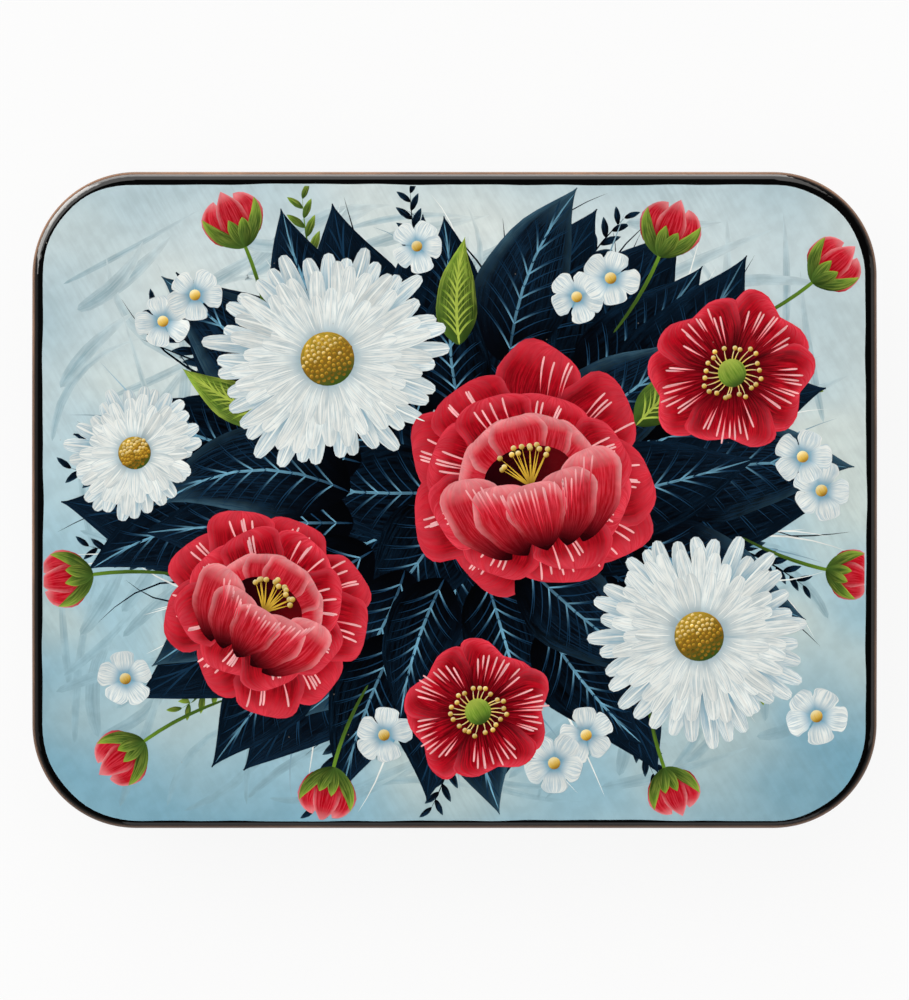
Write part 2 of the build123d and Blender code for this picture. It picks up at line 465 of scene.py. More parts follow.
def newLayer(name, points, faces, look, colors, maps):
    # mesh of a paint layer that rides on the lid, with a colour for each point and flat maps
    mesh = bpy.data.meshes.new(name)
    mesh.from_pydata(points.tolist(), [], faces)
    mesh.polygons.foreach_set("use_smooth", np.ones(len(faces), bool))
    mesh.materials.append(paintMaterial(name.replace("_", " ") + " paint", look))
    piece = bpy.data.objects.new(name, mesh)
    scene.collection.objects.link(piece)
    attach(piece, "lid")
    pictureLayers.append(piece)
    for label, rgb in colors.items():
        layer = mesh.attributes.new(label, "FLOAT_COLOR", "POINT")
        rgba = np.concatenate([rgb, np.ones((len(rgb), 1))], 1)
        layer.data.foreach_set("color", rgba.astype(np.float32).ravel())
    corners = np.zeros(len(mesh.loops), np.int32)
    mesh.loops.foreach_get("vertex_index", corners)
    for label, values in maps.items():
        layer = mesh.uv_layers.new(name=label)
        layer.data.foreach_set("uv", values[corners].astype(np.float32).ravel())


def paintGround():
    # sheet of rings drawn in from the wobbling outline to the middle, with a skirt down into the board
    turns, rings = ground["turns"], ground["rings"]
    turn = np.arange(turns) / turns
    edge = np.stack(outlinePoint(turn), 1)
    wave = sum(size * np.sin(2 * math.pi * (k * turn + shift)) for k, size, shift in ground["waves"])
    edge = edge * (1 + ground["wobble"] * wave / np.hypot(*edge.T))[:, None]
    share = np.linspace(1.0, 0.0, rings + 1)[:-1]
    flat = (edge[None] * share[:, None, None]).reshape(-1, 2)
    flat = np.concatenate([edge, edge, flat, [[0.0, 0.0]]])
    z = archHeight(flat[:, 1]) + picture["groundLift"]
    z[:turns] -= ground["skirt"]
    k = np.arange(turns)
    after = (k + 1) % turns
    rows = np.array([0, *range(2, rings + 1)])[:, None] * turns  # the skirt has a rim of its own
    quads = np.stack([rows + k, rows + after, rows + turns + after, rows + turns + k], -1).reshape(-1, 4)
    last = (rings + 1) * turns
    fan = np.stack([last + k, last + after, np.full(turns, len(flat) - 1)], -1)
    x, y = flat.T
    tone = groundTone(x, y)
    streak = ground["streak"] * lattice(x, y, *ground["streakPatch"])[:, None]
    along, aside = ground["slant"]
    brush = np.stack([flat @ [along, aside], flat @ [-aside, along]], 1)
    atlas = flat / [ground["mapSpan"] * halfLength, ground["mapSpan"] * halfDepth] + 0.5
    colors = {"paint": tone, "streak": mix(tone, paints["slate"], streak)}
    newLayer("picture_ground", np.column_stack([flat, z]) * mm, quads.tolist() + fan.tolist(),
             ground["look"], colors, {"brush": brush, "OFBake": atlas})


paintGround()
print("picture ground painted")


# brush marks: every motif is made of marks, and a mark is a profile carried along a curved path

marks = []
stroke = {
    "leastHalf": 0.012, "ruffleTurn": 6.3, "ruffles": 2.5, "notchHalf": 0.35, "notchPower": 5,
    "midRun": (0.0, 0.55), "endRun": (0.45, 1.0), "rimFrom": (0.72, 1.0), "rimRun": (0.25, 0.75),
    "streakRun": (0.05, 0.6), "fineColumns": 3,
}


def brushShape(rise, fall, stations, columns, ruffle=0.0, notch=0.0):
    # powers of a mark's width at its foot and tip, points along and across it, and shares of its edge's form
    return {"rise": rise, "fall": fall, "stations": stations, "columns": columns,
            "ruffle": ruffle, "notch": notch}


petalShape = brushShape(0.75, 0.34, 19, 9, ruffle=0.05)
heartShape = brushShape(0.90, 0.40, 21, 11, ruffle=0.03, notch=0.11)
rayShape = brushShape(0.55, 0.32, 12, 5)
leafShape = brushShape(0.72, 0.95, 17, 7, ruffle=0.035)
bladeShape = brushShape(0.70, 1.25, 21, 7, ruffle=0.03)
hairShape = brushShape(0.25, 0.80, 10, 3)
ribShape = brushShape(0.25, 0.50, 10, 3)
stemShape = brushShape(0.25, 0.80, 10, 4)
budStemShape = brushShape(0.25, 0.10, 10, 4)
sweepShape = brushShape(0.40, 0.80, 10, 5)
dotShape = brushShape(0.5, 0.5, 8, 3)
eyeShape = brushShape(0.5, 0.5, 19, 9)


def tint(base, mid, end, rim=None, rimAmount=0.0, streak=None, streakAmount=0.5, side=0.0, jitter=0.06):
    # paints along a mark, at its rim and in its streaks, how much these show, shade to a side, and scatter
    return {"base": paints[base], "mid": paints[mid], "end": paints[end], "rim": paints[rim or end],
            "rimAmount": rimAmount, "streak": paints[streak or end], "streakAmount": streakAmount,
            "side": side, "jitter": jitter, "fade": False}


def halfWidth(form, t):
    # t^rise (1-t)^fall along a mark, scaled to 1 at its widest
    peak = form["rise"] / (form["rise"] + form["fall"])
    return t ** form["rise"] * (1 - t) ** form["fall"] / (peak ** form["rise"] * (1 - peak) ** form["fall"])


def onPath(start, bend, tip, t):
    # quadratic path from start by bend to tip
    return (1 - t) ** 2 * start + 2 * t * (1 - t) * bend + t ** 2 * tip


def markPoints(mark, t, a):
    # t along the mark's path and a across it, out to its half width with a ruffled edge; the middle of the
    # tip is drawn back by the notch
    form = mark["shape"]
    t, a = t[None, :, None, None], a[None, None, :, None]
    start, bend, tip = (mark[key][:, None, None, :] for key in ("start", "bend", "tip"))
    phase, width = (mark[key][:, None, None, None] for key in ("phase", "width"))
    ahead = (1 - t) * (bend - start) + t * (tip - bend) + 1e-6
    ahead = ahead / np.linalg.norm(ahead, axis=-1, keepdims=True)
    across = np.stack([-ahead[..., 1], ahead[..., 0]], -1)
    half = np.maximum(halfWidth(form, t), stroke["leastHalf"])
    ruffle = np.sin(stroke["ruffleTurn"] * (stroke["ruffles"] * t + phase))
    half = half * (1 + form["ruffle"] * ruffle * np.abs(a))
    length = np.linalg.norm(tip - start, axis=-1, keepdims=True)
    dip = np.exp(-(half * a / stroke["notchHalf"]) ** 2)
    back = form["notch"] * length * dip * t ** stroke["notchPower"]
    return keepInside(onPath(start, bend, tip, t) + across * half * a * width - ahead * back)


def markColors(mark, t, a):
    # colour runs from base by mid to end along the mark, turns to the rim colour at its edge and leans to a
    # side; the second colour is that of the bristle streaks
    look = mark["look"]
    t, a = t[None, :, None, None], a[None, None, :, None]
    tone = mix(look["base"], look["mid"], smooth(t, *stroke["midRun"]))
    tone = mix(tone, look["end"], smooth(t, *stroke["endRun"]))
    edge = smooth(np.maximum(np.abs(a), t), *stroke["rimFrom"]) * smooth(t, *stroke["rimRun"])
    tone = mix(tone, look["rim"], look["rimAmount"] * edge)
    tone = tone * (1 + look["side"] * a) * mark["value"][:, None, None, None]
    second = mix(tone, look["streak"], look["streakAmount"] * smooth(t, *stroke["streakRun"]))
    return tone, second


def addMarks(family, start, bend, tip, width, shape, look):
    # narrow marks go to a layer of their own, so that each layer's marks are alike in size
    start, bend, tip = (np.atleast_2d(np.asarray(p, float)) for p in (start, bend, tip))
    count = max(len(start), len(tip))
    start, bend, tip = (np.broadcast_to(p, (count, 2)) for p in (start, bend, tip))
    piece = family + ("_fine" if shape["columns"] == stroke["fineColumns"] else "")
    marks.append({"piece": piece, "start": start, "bend": bend, "tip": tip, "shape": shape, "look": look,
                  "width": np.broadcast_to(np.asarray(width, float), count), "phase": rng.random(count),
                  "value": 1 + look["jitter"] * rng.normal(size=count)})


quarter = 1.57  # about a quarter turn
dotSlant = np.array([0.5, -0.87])


def polar(angle, radius):
    # points at angles and radii round the middle
    return np.stack([np.cos(angle), np.sin(angle)], -1) * np.asarray(radius)[..., None]


def evenTurns(count, shift):
    # even steps round a circle, all turned by a shift
    return np.linspace(0, 2 * math.pi, count, endpoint=False) + shift


def onBouquet(angle, share):
    # at an angle round the bouquet and a share of its reach
    return polar(np.array(angle), share) * bouquet["reach"]


def bloom(at, radius, facing, squash, phase=0.0, rays=1.0):
    # place and radius in mm, direction and share of its foreshortening, turn of its petals, share of rays
    return {"at": at, "radius": radius, "facing": facing, "squash": squash, "phase": phase, "rays": rays}


def seat(flower, points):
    # from the flower's own plane to the picture: foreshortened along its facing, turned, and put in place
    turn = flower["facing"]
    squashed = np.asarray(points, float) * [1.0, flower["squash"]]
    rotation = np.array([[math.cos(turn), math.sin(turn)], [-math.sin(turn), math.cos(turn)]])
    return squashed * flower["radius"] @ rotation + np.array(flower["at"])


def addPetals(family, flower, start, bend, tip, width, shape, look):
    # marks laid out in the flower's own plane
    addMarks(family, *[seat(flower, points) for points in (start, bend, tip)], width, shape, look)


def paintOrder(count, laps):
    # several laps round a ring, so that neighbours overlap without climbing on each other like stairs
    return np.argsort(np.arange(count) % laps, kind="stable")


def ringAngles(count, phase, spread=0.06):
    # even steps round the flower with a little scatter, in two laps
    turn = np.arange(count) + spread * rng.normal(size=count)
    return (phase + 2 * math.pi * turn / count)[paintOrder(count, 2)]


def addDots(piece, points, radius, look, shape=dotShape):
    # short marks as wide as they are long, all on one slant
    side = dotSlant * np.broadcast_to(np.asarray(radius, float), len(points))[:, None]
    addMarks(piece, points + side, points, points - side, radius, shape, look)


def bowed(root, angle, length, bow):
    # middle and tip of a bowed line, and the directions along and across it
    ahead, across = (polar(np.array(turn), 1.0) for turn in (angle, angle + math.pi / 2))
    bend = root + ahead * length * 0.5 + across * bow * length
    return bend, root + ahead * length, ahead, across


# looks of the motifs

outerRed = tint("deep", "wine", "crimson", "pink", 0.6, "rose", 0.6)
middleRed = tint("deep", "wine", "crimson", "pink", 0.75, "rose", 0.7)
heartRed = tint("deep", "wine", "crimson", "pink", 0.85, "rose", 0.8)
cupRed = tint("deep", "crimson", "rose", "blush", 0.62, "pink", 0.42)
hollowRed = tint("deep", "deep", "wine", "wine", 0.0, "wine", 0.3)
budRed = tint("wine", "crimson", "rose", "blush", 0.6, "pink", 0.5)
snowRay = tint("frost", "white", "snow", "snow", 0.5, "frost", 0.6)
shadeRay = tint("teal", "frost", "white", "snow", 0.4, "sky", 0.6)
fillerShade = tint("sky", "sky", "frost")
fillerWhite = tint("sky", "white", "snow", "snow", 0.4, "sky", 0.5)
darkLeaf = tint("navy", "navy", "night", "teal", 0.25, "teal", 0.4, side=0.5)
tealLeaf = tint("navy", "night", "night", "sky", 0.2, "teal", 0.7, side=0.5)
mossLeaf = tint("moss", "moss", "leaf", "lime", 0.35, "lime", 0.45, side=0.45)
greenEye = tint("moss", "leaf", "lime", streak="lime")
goldEye = tint("moss", "ochre", "gold", streak="moss", streakAmount=0.6)
goldDot = tint("ochre", "gold", "cream", "cream", 0.0, "cream", 0.3, jitter=0.15)
dimDot = tint("ochre", "ochre", "gold", "gold", 0.0, "gold", 0.3, jitter=0.15)
darkDot = tint("ochre", "ochre", "moss", "moss", 0.0, "moss", 0.4, jitter=0.2)
goldHair = tint("ochre", "gold", "gold")
creamHair = tint("lime", "gold", "cream")
blushHair = tint("blush", "blush", "pink")
pinkHair = tint("blush", "pink", "rose")
whiteHair = tint("snow", "snow", "snow", jitter=0.04)
blueHair = tint("sky", "sky", "frost", jitter=0.1)
nightHair = tint("navy", "night", "night", "night", 0.0, "teal", 0.4, jitter=0.1)
tealHair = tint("teal", "teal", "teal", jitter=0.25)
veinHair = tint("sky", "teal", "teal", jitter=0.15)
mossHair = tint("moss", "moss", "leaf", jitter=0.1)
limeHair = tint("lime", "lime", "leaf")
hazeSweep = dict(tint("haze", "haze", "haze", "slate", 0.4, jitter=0.05), fade=True)


# motifs; lengths are shares of a flower's radius, and the widths of hairs and dots are in mm; a pair for a
# length or reach is its least and how much more at most, unless a comment says otherwise

redFlowers, whiteFlowers = "picture_red_flowers", "picture_white_flowers"


def addTipHairs(flower, angle, far, form):
    # pale hairs from near the petals' tips inwards
    shortest, more = form["hairLength"]
    ends = far - shortest - more * rng.random(len(far))
    bend = polar(angle + form["hairTurn"], far - form["hairBend"])
    addPetals(redFlowers, flower, polar(angle, far), bend, polar(angle, ends), form["hairWidth"], hairShape,
              blushHair)


def arc(across, wide, height, curl, offset=0.0):
    # points at a share of the distances across, on a parabola that rises to both sides
    return np.stack([across * wide, height + curl * across ** 2 + offset], 1)


peony = {
    "rings": ((9, 0.22, 1.0, 0.34, outerRed), (8, 0.2, 0.8, 0.31, middleRed)),  # count, root, tip, width
    "ringBend": 0.62, "reachScatter": 0.05, "leanScatter": 0.16,
    "hairs": 4, "hairScatter": 0.11, "hairReach": (0.95, 0.06),  # most, and how much less at most
    "hairLength": (0.22, 0.14), "hairTurn": 0.02, "hairBend": 0.1, "hairWidth": 0.11,
    "backPetals": (150, 30, 118, 62, 90), "backReach": (0.06, 0.36, 0.56), "backDrop": (0.0, 0.1),
    "backWidth": 0.23, "hollowPath": ((-0.34, 0.05), (0.0, 0.17), (0.34, 0.05)), "hollowWidth": 0.17,
    "stamens": 13, "stamenFan": (150, 30), "fanScatter": 4, "stamenFoot": (0.0, -0.05), "stamenBend": 0.1,
    "stamenReach": (0.2, 0.07), "stamenLift": (0.0, 0.05), "stamenWidth": 0.09, "anther": 0.3,
    "cupPetals": (-0.46, 0.46, -0.25, 0.25, 0.0), "cupBelly": (0.3, 0.0), "cupWidth": 0.24,
    "cupFoot": (0.62, -0.6, 0.0), "cupHead": (1.05, -0.02, 0.8),  # share across, height and curl of an arc
    "cupHairs": 26, "cupHairRun": (-0.5, 0.5), "cupHairScatter": (0.02, 0.06, 0.02), "cupHairWidth": 0.1,
    "cupHairFoot": (0.8, -0.32, 0.3), "cupHairHead": (1.0, -0.08, 0.6),
}


def paintPeonyRings(flower):
    # two rings of ruffled petals with pale hairs at their tips
    for count, root, tip, wide, look in peony["rings"]:
        angle = ringAngles(count, flower["phase"] + tip)
        reach = tip * (1 + peony["reachScatter"] * rng.normal(size=count))
        lean = angle + peony["leanScatter"] * rng.normal(size=count)
        bend, width = polar(lean, peony["ringBend"] * reach), flower["radius"] * wide
        addPetals(redFlowers, flower, polar(angle, root), bend, polar(angle, reach), width, petalShape, look)
        hairs, (most, less) = peony["hairs"], peony["hairReach"]
        fine = np.repeat(angle, hairs) + peony["hairScatter"] * rng.normal(size=hairs * count)
        far = np.repeat(reach, hairs) * (most - less * rng.random(hairs * count))
        addTipHairs(flower, fine, far, peony)


def paintPeonyHeart(flower):
    # raised back petals, and a dark hollow with a fan of stamens
    size, back = flower["radius"], np.radians(peony["backPetals"])
    near, bend, far = (polar(back, reach) for reach in peony["backReach"])
    near = near - peony["backDrop"]
    addPetals(redFlowers, flower, near, bend, far, size * peony["backWidth"], petalShape, cupRed)
    addPetals(redFlowers, flower, *peony["hollowPath"], size * peony["hollowWidth"], eyeShape, hollowRed)
    count, (shortest, more) = peony["stamens"], peony["stamenReach"]
    fan = np.linspace(*peony["stamenFan"], count) + peony["fanScatter"] * rng.normal(size=count)
    fan = np.radians(fan)
    tops = polar(fan, shortest + more * rng.random(count)) + peony["stamenLift"]
    addPetals(redFlowers, flower, peony["stamenFoot"], polar(fan, peony["stamenBend"]), tops,
              peony["stamenWidth"], hairShape, goldHair)
    addDots(redFlowers, seat(flower, tops), peony["anther"], goldDot)


def paintPeonyCup(flower):
    # front petals that close over the hollow, with fine pink hairs down them
    across, width = np.array(peony["cupPetals"]), flower["radius"] * peony["cupWidth"]
    low, high = (arc(across, *peony[end]) for end in ("cupFoot", "cupHead"))
    belly = (low + high) / 2 + across[:, None] * peony["cupBelly"]
    addPetals(redFlowers, flower, low, belly, high, width, petalShape, cupRed)
    count, (aside, footScatter, headScatter) = peony["cupHairs"], peony["cupHairScatter"]
    spread = np.linspace(*peony["cupHairRun"], count) + aside * rng.normal(size=count)
    foot = arc(spread, *peony["cupHairFoot"], footScatter * rng.normal(size=count))
    head = arc(spread, *peony["cupHairHead"], headScatter * rng.normal(size=count))
    addPetals(redFlowers, flower, head, (foot + head) / 2, foot, peony["cupHairWidth"], hairShape, pinkHair)


def paintPeony(flower):
    # from the back of the flower to its front
    paintPeonyRings(flower)
    paintPeonyHeart(flower)
    paintPeonyCup(flower)


dogRose = {
    "petals": 5, "petalScatter": 0.03, "reachScatter": 0.04, "petalWidth": 0.55,
    "petalReach": (0.05, 0.6), "petalTurn": 0.06,  # root and bend, and how far round the bend lies
    "hairs": 9, "hairFan": 0.4, "hairScatter": 0.03,
    "hairReach": (0.88, 0.5, 0.03),  # most, drop to the sides, and scatter
    "hairLength": (0.22, 0.2), "hairTurn": 0.0, "hairBend": 0.15, "hairWidth": 0.1,
    "stamens": 22, "stamenPhase": 0.3, "stamenScatter": 0.2, "stamenLength": (0.3, 0.08),
    "stamenReach": (0.08, 0.2), "stamenTurn": 0.2,  # as for the petals
    "stamenWidth": 0.08, "eye": 0.17, "anther": 0.26,
}


def paintDogRose(flower):
    # five heart-shaped petals with pale hairs, a green eye and a ring of stamens
    size, count = flower["radius"], dogRose["petals"]
    angle = ringAngles(count, flower["phase"], dogRose["petalScatter"])
    near, bend = dogRose["petalReach"]
    tips = polar(angle, 1 + dogRose["reachScatter"] * rng.normal(size=count))
    addPetals(redFlowers, flower, polar(angle, near), polar(angle + dogRose["petalTurn"], bend), tips,
              size * dogRose["petalWidth"], heartShape, heartRed)
    fan = np.tile(np.linspace(-dogRose["hairFan"], dogRose["hairFan"], dogRose["hairs"]), count)
    fine = np.repeat(angle, dogRose["hairs"]) + fan + dogRose["hairScatter"] * rng.normal(size=len(fan))
    most, drop, scatter = dogRose["hairReach"]
    addTipHairs(flower, fine, most - drop * fan ** 2 + scatter * rng.normal(size=len(fan)), dogRose)
    ring = ringAngles(dogRose["stamens"], dogRose["stamenPhase"], dogRose["stamenScatter"])
    near, bend = dogRose["stamenReach"]
    shortest, more = dogRose["stamenLength"]
    tops = polar(ring, shortest + more * rng.random(len(ring)))
    addPetals(redFlowers, flower, polar(ring, near), polar(ring + dogRose["stamenTurn"], bend), tops,
              dogRose["stamenWidth"], hairShape, creamHair)
    addDots(redFlowers, seat(flower, [(0, 0)]), dogRose["eye"] * size, greenEye, eyeShape)
    addDots(redFlowers, seat(flower, tops), dogRose["anther"], goldDot)


aster = {
    "rings": ((34, 0.24, 1.0, 0.085, shadeRay), (30, 0.2, 0.86, 0.08, snowRay),
              (24, 0.18, 0.64, 0.07, snowRay)),  # count, root, tip, width
    "ringTurn": 3, "rayScatter": 0.12, "reachScatter": 0.06, "bendScatter": 0.07, "bendReach": 0.6,
    "rayHair": 0.09, "rayHairReach": 0.45, "eye": 0.235,
    "seeds": 70, "seedTurn": 2.39996, "seedReach": 0.225, "seedSize": 0.2,
    "light": (-0.5, 0.85), "shades": (-0.4, 0.1),  # the eye is lit from the back left, in three tones
    "dapple": 0.5, "dappleStep": 0.618,
}


def paintAster(flower):
    # three rings of narrow rays round a raised golden eye of dots, each dot a golden angle on from the last
    size = flower["radius"]
    for count, root, tip, wide, look in aster["rings"]:
        count = int(count * flower["rays"])
        angle = ringAngles(count, flower["phase"] + aster["ringTurn"] * tip, aster["rayScatter"])
        reach = tip * (1 + aster["reachScatter"] * rng.normal(size=count))
        bend = polar(angle + aster["bendScatter"] * rng.normal(size=count), aster["bendReach"] * reach)
        near, tips, hairEnds = (polar(angle, far) for far in (root, reach, aster["rayHairReach"] * reach))
        addPetals(whiteFlowers, flower, near, bend, tips, size * wide / flower["rays"], rayShape, look)
        addPetals(whiteFlowers, flower, tips, bend, hairEnds, aster["rayHair"], hairShape, whiteHair)
    eye = aster["eye"] * size
    addDots(whiteFlowers, seat(flower, [(0, 0)]), eye, goldEye, eyeShape)
    k = np.arange(int(aster["seeds"] * flower["rays"]))
    spiral = polar(k * aster["seedTurn"], aster["seedReach"] * np.sqrt((k + 0.5) / len(k)))
    seeds = seat(flower, spiral)[::-1]
    dapple = aster["dapple"] * ((k * aster["dappleStep"]) % 1 - 0.5)
    lit = (seeds - flower["at"]) @ aster["light"] / eye + dapple
    dark, bright = aster["shades"]
    between = (lit >= dark) & (lit <= bright)
    for look, chosen in ((darkDot, lit < dark), (dimDot, between), (goldDot, lit > bright)):
        addDots(whiteFlowers, seeds[chosen], aster["seedSize"], look)


leafForm = {
    "rib": 0.15, "ribReach": 0.97, "veins": ((11, 0.78, 0.07), (6, 0.9, 0.09)),  # pairs, reach, thickness
    "veinRun": (0.08, 0.74), "veinAhead": 0.17, "veinSag": 0.12, "veinLift": 0.3,
}


def paintLeaf(root, angle, length, width, look, veinLook, fineLook, bow):
    # one bowed blade, its middle vein, fine strokes between the veins and six pairs of side veins
    green, root = "picture_leaves", np.asarray(root, float)
    bend, tip, ahead, across = bowed(root, angle, length, bow)
    addMarks(green, root, bend, tip, width, bladeShape, look)
    ribLook = dict(veinLook, base=veinLook["mid"], mid=veinLook["base"], end=veinLook["base"])
    ribTip = root + ahead * length * leafForm["ribReach"]
    addMarks(green, root, bend, ribTip, leafForm["rib"], ribShape, ribLook)
    for (pairs, share, thick), veinTint in zip(leafForm["veins"], (fineLook, veinLook)):
        t = np.tile(np.linspace(*leafForm["veinRun"], pairs), 2)[:, None]
        far = t + leafForm["veinAhead"]
        sign = np.repeat([1.0, -1.0], pairs)[:, None]
        onVein, beyond = (onPath(root, bend, tip, s) for s in (t, far))
        wide = width * share * halfWidth(bladeShape, far)
        out = beyond + across * sign * wide
        sag = across * sign * wide * leafForm["veinSag"]
        between = (onVein + out) / 2 - sag + ahead * leafForm["veinLift"]
        addMarks(green, onVein, between, out, thick, hairShape, veinTint)


budParts = (
    {"piece": redFlowers, "look": budRed, "foot": (0.0, 0.0), "lean": (-0.3, 0.3, 0.0),
     "belly": (1.6, 0.55), "topLean": 0.7, "tops": (0.95, 0.95, 1.08), "width": (0.34, 0.34, 0.3)},
    {"piece": "picture_sprigs", "look": mossLeaf, "foot": (0.0, -0.12), "lean": (-0.62, 0.62, -0.1, 0.2),
     "belly": (0.8, 0.25), "topLean": 0.9, "tops": (0.72, 0.72, 0.5, 0.45), "width": 0.13},
)
budStem = {"length": 10.0, "bow": 1.6, "width": 0.2}


def paintBud(at, angle, size):
    # bowed stem, three closed petals and four green sepals
    length = budStem["length"]
    root = np.array(at) - polar(np.array(angle), length) + polar(np.array(angle + quarter), budStem["bow"])
    bend = np.array(at) - polar(np.array(angle), length / 2)
    addMarks("picture_grasses", root, bend, at, budStem["width"], budStemShape, mossHair)
    flower = bloom(at, size, angle - math.pi / 2, 1.0)
    for part in budParts:
        lean = np.array(part["lean"])
        aside, height = part["belly"]
        belly = np.stack([lean * aside, np.full(len(lean), height)], 1)
        tops = np.stack([lean * part["topLean"], part["tops"]], 1)
        width = size * np.array(part["width"])
        addPetals(part["piece"], flower, part["foot"], belly, tops, width, leafShape, part["look"])


sprig = {
    "stem": 0.14, "bow": 0.14, "leaflets": 13, "run": (0.25, 0.97), "longest": 0.26, "shorten": 0.15,
    "ahead": 0.8, "aside": 0.62, "width": 0.17, "lift": 0.1,
}


def paintSprig(root, angle, length, look, hair):
    # thin bowed stem with leaflets that shorten to its tip
    green, count = "picture_sprigs", sprig["leaflets"]
    bend, tip, ahead, across = bowed(root, angle, length, sprig["bow"])
    addMarks(green, root, bend, tip, sprig["stem"], stemShape, hair)
    t = np.linspace(*sprig["run"], count)[:, None]
    sign = np.where(np.arange(count) % 2, 1.0, -1.0)[:, None]
    onStem = onPath(root, bend, tip, t)
    size = length * (sprig["longest"] - sprig["shorten"] * t)
    out = onStem + ahead * size * sprig["ahead"] + across * sign * size * sprig["aside"]
    addMarks(green, onStem, (onStem + out) / 2 + ahead * sprig["lift"], out, size[:, 0] * sprig["width"],
             leafShape, look)


filler = {
    "petals": 5, "squash": 0.9, "turn": 6.3, "petalScatter": 0.05, "petalReach": (0.12, 0.6, 1.0),
    "petalWidth": 0.42, "shade": 0.42, "eye": 0.2,
}


def paintFiller(at, radius):
    # small flower: a shaded disc, five petals and a golden eye
    flower = bloom(at, radius, rng.random() * filler["turn"], filler["squash"])
    angle = ringAngles(filler["petals"], 0.0, filler["petalScatter"])
    eye = seat(flower, [(0, 0)])
    addDots(whiteFlowers, eye, filler["shade"] * radius, fillerShade, eyeShape)
    addPetals(whiteFlowers, flower, *[polar(angle, reach) for reach in filler["petalReach"]],
              radius * filler["petalWidth"], petalShape, fillerWhite)
    addDots(whiteFlowers, eye, filler["eye"] * radius, goldDot)


def swayed(start, lean, form):
    # bends and tips of hairs of random length that lean one way and bow to either side
    shortest, more = form["length"]
    tip = start + polar(lean, shortest + more * rng.random(len(start)))
    return (start + tip) / 2 + polar(lean + quarter, form["bow"] * rng.normal(size=len(start))), tip


haze = {"lean": 0.35, "scatter": 0.45, "crossEvery": 4, "crossTurn": 1.5, "length": (9, 13), "bow": 2.6,
        "width": (0.3, 0.55), "margin": 1.0, "tipMargin": 1.5}


def paintHaze(count):
    # thin sweeps of grey-blue that let the ground through, all on one slant with a few across it
    start = (rng.random((count, 2)) - 0.5) * [2 * spanX, 2 * spanY]
    turned = np.where(np.arange(count) % haze["crossEvery"] == 0, haze["crossTurn"], 0.0)
    lean = haze["lean"] + haze["scatter"] * rng.normal(size=count) + turned
    bend, tip = swayed(start, lean, haze)
    kept = isInside(start, haze["margin"]) & isInside(bend, haze["margin"])
    kept = kept & isInside(tip, haze["tipMargin"])
    thinnest, more = haze["width"]
    width = thinnest + more * rng.random(kept.sum())
    addMarks("picture_grasses", start[kept], bend[kept], tip[kept], width, sweepShape, hazeSweep)


grass = {"root": 0.66, "scatter": 0.35, "length": (9, 9), "bow": 2.4, "width": 0.13, "margin": 0.8}


def paintGrasses(count):
    # long hairs that fan out past the leaves, two dark ones, one blue and two white in every five
    angle = rng.random(count) * 2 * math.pi
    start = onBouquet(angle, grass["root"])
    lean = angle + rng.normal(size=count) * grass["scatter"]
    bend, tip = swayed(start, lean, grass)
    kinds = np.arange(count) % 5
    for look, chosen in ((nightHair, kinds < 2), (blueHair, kinds == 2), (whiteHair, kinds > 2)):
        chosen = chosen & isInside(tip, grass["margin"])
        blades = [points[chosen] for points in (start, bend, tip)]
        addMarks("picture_grasses", *blades, grass["width"], stemShape, look)


# layout of the bouquet, in mm from the middle of the lid; flowers stand in the order of their painting

flowers = [
    (paintDogRose, bloom((29.5, 13.5), 8.8, 0.4, 0.9, 0.5)),
    (paintAster, bloom((26.0, -14.5), 11.2, -0.4, 0.93, 0.4, 1.05)),
    (paintAster, bloom((-34.0, 5.0), 7.4, 0.9, 0.88, 0.9, 0.8)),
    (paintPeony, bloom((-20.0, -11.5), 11.0, -0.55, 0.92, 0.7)),
    (paintAster, bloom((-13.5, 15.0), 12.2, 0.3, 0.92, 0.0, 1.1)),
    (paintDogRose, bloom((2.5, -22.5), 8.2, 0.1, 0.86, 1.1)),
    (paintPeony, bloom((8.0, 2.0), 13.6, 0.25, 0.93, 0.2)),
]
fillers = [
    (39.0, 1.0), (37.0, 4.6), (-31.0, 19.0), (-27.6, 21.8), (13.0, 21.6), (16.6, 23.6),
    (-35.0, -19.0), (14.0, -25.0), (10.6, -28.0), (38.5, -23.0), (-4.0, 27.0), (-7.5, -25.0),
]
buds = [  # place, direction and size
    ((-39.0, -8.0), 3.3, 5.0), ((40.0, -7.5), -0.2, 4.4), ((-22.5, 27.5), 2.0, 5.4),
    ((22.0, 26.5), 1.2, 5.4), ((-13.0, -29.0), -1.8, 5.0), ((38.5, 23.5), 0.7, 5.0),
    ((-33.5, -26.0), -2.5, 5.0), ((22.5, -29.0), -1.2, 4.6),
]
sprigs = {"count": 14, "shift": 0.25, "root": 0.62, "sway": 0.25, "sways": 5, "length": (14, 3),
          "greenEvery": 4}
backLeaves = {"count": 15, "shift": 0.3, "root": 0.36, "length": 27.5, "least": 0.72, "width": 0.29,
              "scatter": 0.12, "bow": 0.08}
heartLeaves = {"angles": (150, 206, 262, 178, 234), "root": (1.0, 1.0), "length": 19.0, "width": 5.2,
               "bow": 0.06}
frontLeaves = {"count": 32, "shift": 0.1, "root": 0.5, "deeper": 0.22, "length": (21.5, 1.5), "least": 0.75,
               "width": 0.25, "scatter": 0.2, "bow": 0.1, "tealEvery": 3}
greenLeaves = {"count": 6, "shift": 0.5, "root": 0.55, "length": 11.5, "width": 2.2, "scatter": 0.3,
               "bow": 0.1}
leafLaps = 4
fillerSize = (2.9, 0.5)  # least radius, and how much more at most


def shorten(angle, least):
    # whole to the left and right, and the least share of it to the back and front
    return least + (1 - least) * abs(math.cos(angle))


